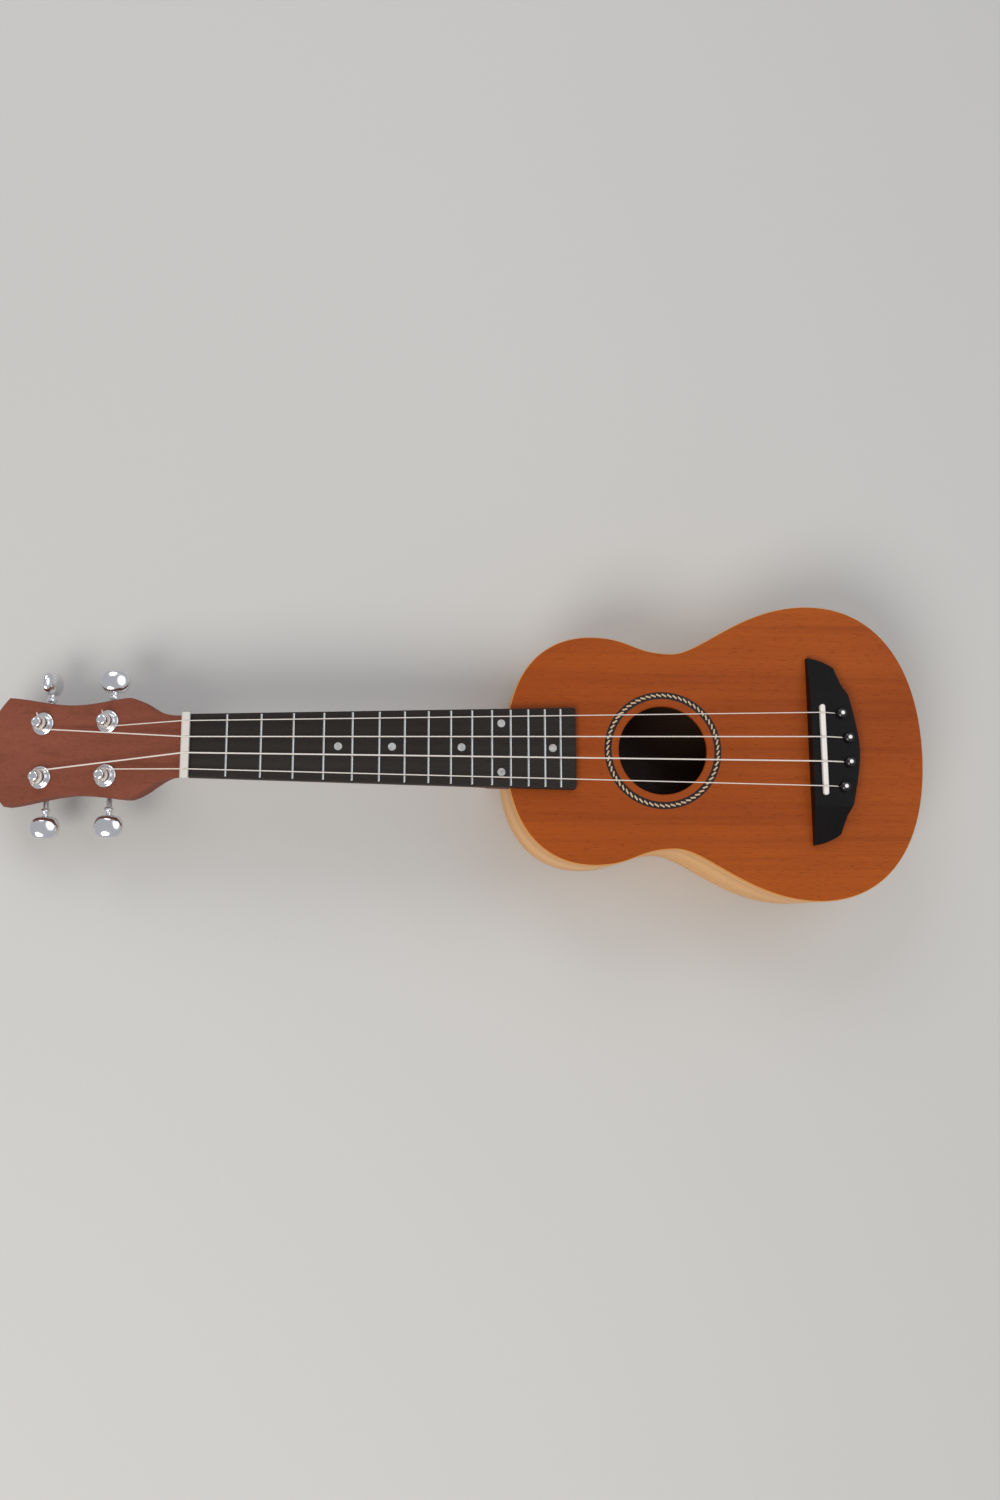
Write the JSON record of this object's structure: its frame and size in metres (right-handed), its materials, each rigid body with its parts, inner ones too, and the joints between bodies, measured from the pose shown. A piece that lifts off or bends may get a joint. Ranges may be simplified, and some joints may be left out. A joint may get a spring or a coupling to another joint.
{
  "type": "ukulele",
  "caption": "Small waisted ukulele with a hollow wooden body, round sound hole, fretted neck, pinned bridge, nylon strings and geared tuners whose buttons turn the string posts.",
  "frame": {"origin": "on the back's flat outer face, on the centre line, midway along the body", "axes": "+X along the strings from the headstock to the tail, +Y towards the highest string, +Z out of the soundboard"},
  "size_m": [0.528, 0.1678, 0.0728],
  "materials": {
    "top_wood": "satin",
    "side_wood": "satin",
    "neck_wood": "satin",
    "board_wood": "matte",
    "block_wood": "raw",
    "brace_wood": "raw",
    "maple": "raw",
    "dowel_wood": "raw",
    "inlay": "satin",
    "white_bone": "satin",
    "black_satin": "black stain, satin",
    "pin_black": "gloss",
    "nylon": "gloss",
    "chrome": "polished",
    "plated_button": "chrome plated",
    "steel": "satin",
    "brass": "satin"
  },
  "bodies": {
    "root": {"soundboard": "top_wood", "back_plate": "side_wood", "side_treble": "side_wood", "side_bass": "side_wood", "neck_block": "block_wood", "tail_block": "block_wood", "neck_dowel": "dowel_wood", "lining_top": "block_wood", "lining_back": "block_wood", "soundhole_brace": "brace_wood", "lower_brace": "brace_wood", "bridge_plate": "maple", "upper_back_brace": "brace_wood", "lower_back_brace": "brace_wood", "rosette": "inlay", "neck": "neck_wood", "fingerboard": "board_wood", "nut": "white_bone", "bridge": "black_satin", "saddle": "white_bone", "string_g": "nylon", "bridge_pin_g": "pin_black", "tuner_case_g": "chrome", "tuner_bushing_g": "chrome", "tuner_screw_g": "steel", "string_c": "nylon", "bridge_pin_c": "pin_black", "tuner_case_c": "chrome", "tuner_bushing_c": "chrome", "tuner_screw_c": "steel", "string_e": "nylon", "bridge_pin_e": "pin_black", "tuner_case_e": "chrome", "tuner_bushing_e": "chrome", "tuner_screw_e": "steel", "string_a": "nylon", "bridge_pin_a": "pin_black", "tuner_case_a": "chrome", "tuner_bushing_a": "chrome", "tuner_screw_a": "steel"},
    "knob_g": {"button_g": "plated_button", "worm_g": "steel"},
    "post_g": {"tuner_post_g": "chrome", "worm_wheel_g": "brass", "winding_g": "nylon"},
    "knob_c": {"button_c": "plated_button", "worm_c": "steel"},
    "post_c": {"tuner_post_c": "chrome", "worm_wheel_c": "brass", "winding_c": "nylon"},
    "knob_e": {"button_e": "plated_button", "worm_e": "steel"},
    "post_e": {"tuner_post_e": "chrome", "worm_wheel_e": "brass", "winding_e": "nylon"},
    "knob_a": {"button_a": "plated_button", "worm_a": "steel"},
    "post_a": {"tuner_post_a": "chrome", "worm_wheel_a": "brass", "winding_a": "nylon"}
  },
  "joints": [
    {"name": "button_turn_g", "type": "hinge", "parent": "root", "child": "knob_g", "pos_m": [-0.33859, -0.015, 0.03439], "axis": [0, 1, 0], "continuous": true},
    {"name": "post_turn_g", "type": "hinge", "parent": "root", "child": "post_g", "pos_m": [-0.33664, -0.015, 0.05219], "axis": [-0.2419, 0, 0.9703], "continuous": true},
    {"name": "button_turn_c", "type": "hinge", "parent": "root", "child": "knob_c", "pos_m": [-0.37623, -0.015, 0.02501], "axis": [0, 1, 0], "continuous": true},
    {"name": "post_turn_c", "type": "hinge", "parent": "root", "child": "post_c", "pos_m": [-0.37428, -0.015, 0.04281], "axis": [-0.2419, 0, 0.9703], "continuous": true},
    {"name": "button_turn_e", "type": "hinge", "parent": "root", "child": "knob_e", "pos_m": [-0.37623, 0.015, 0.02501], "axis": [0, 1, 0], "continuous": true},
    {"name": "post_turn_e", "type": "hinge", "parent": "root", "child": "post_e", "pos_m": [-0.37428, 0.015, 0.04281], "axis": [-0.2419, 0, 0.9703], "continuous": true},
    {"name": "button_turn_a", "type": "hinge", "parent": "root", "child": "knob_a", "pos_m": [-0.33859, 0.015, 0.03439], "axis": [0, 1, 0], "continuous": true},
    {"name": "post_turn_a", "type": "hinge", "parent": "root", "child": "post_a", "pos_m": [-0.33664, 0.015, 0.05219], "axis": [-0.2419, 0, 0.9703], "continuous": true}
  ],
  "couplings": [
    {"joint": "post_turn_g", "follows": "button_turn_g", "ratio": -0.071429},
    {"joint": "post_turn_c", "follows": "button_turn_c", "ratio": -0.071429},
    {"joint": "post_turn_e", "follows": "button_turn_e", "ratio": -0.071429},
    {"joint": "post_turn_a", "follows": "button_turn_a", "ratio": -0.071429}
  ]
}
